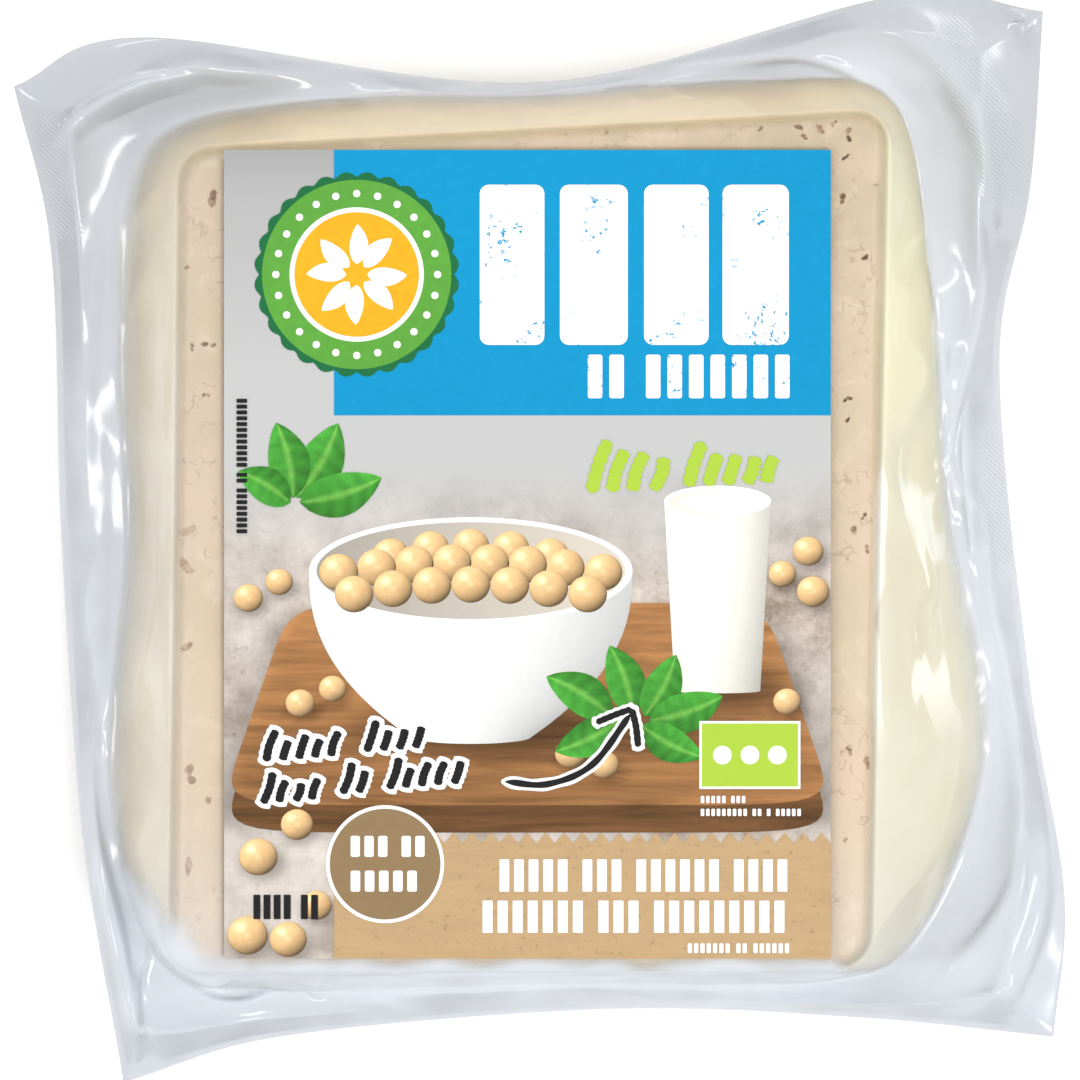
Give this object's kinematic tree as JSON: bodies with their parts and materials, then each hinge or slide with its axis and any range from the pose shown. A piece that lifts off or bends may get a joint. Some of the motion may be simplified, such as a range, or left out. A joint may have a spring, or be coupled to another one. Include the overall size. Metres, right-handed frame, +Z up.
{
  "type": "vacuum-packed tofu block",
  "caption": "Firm block of tofu sealed under vacuum in clear film, with a wavy sealed skirt round it and a printed label on its front face.",
  "frame": {"origin": "middle of the pack's plan, on the surface it lies on, which is the back face of the block", "axes": "+Z up out of the front face with the label, +Y towards the top of the label, +X to the right as the label is read"},
  "size_m": [0.1314, 0.1362, 0.0309],
  "materials": {
    "film": "gloss",
    "label": "satin",
    "tofu": "satin",
    "liquid": "gloss"
  },
  "bodies": {
    "root": {"film_pack": "film", "front_label": "label"}
  },
  "joints": []
}
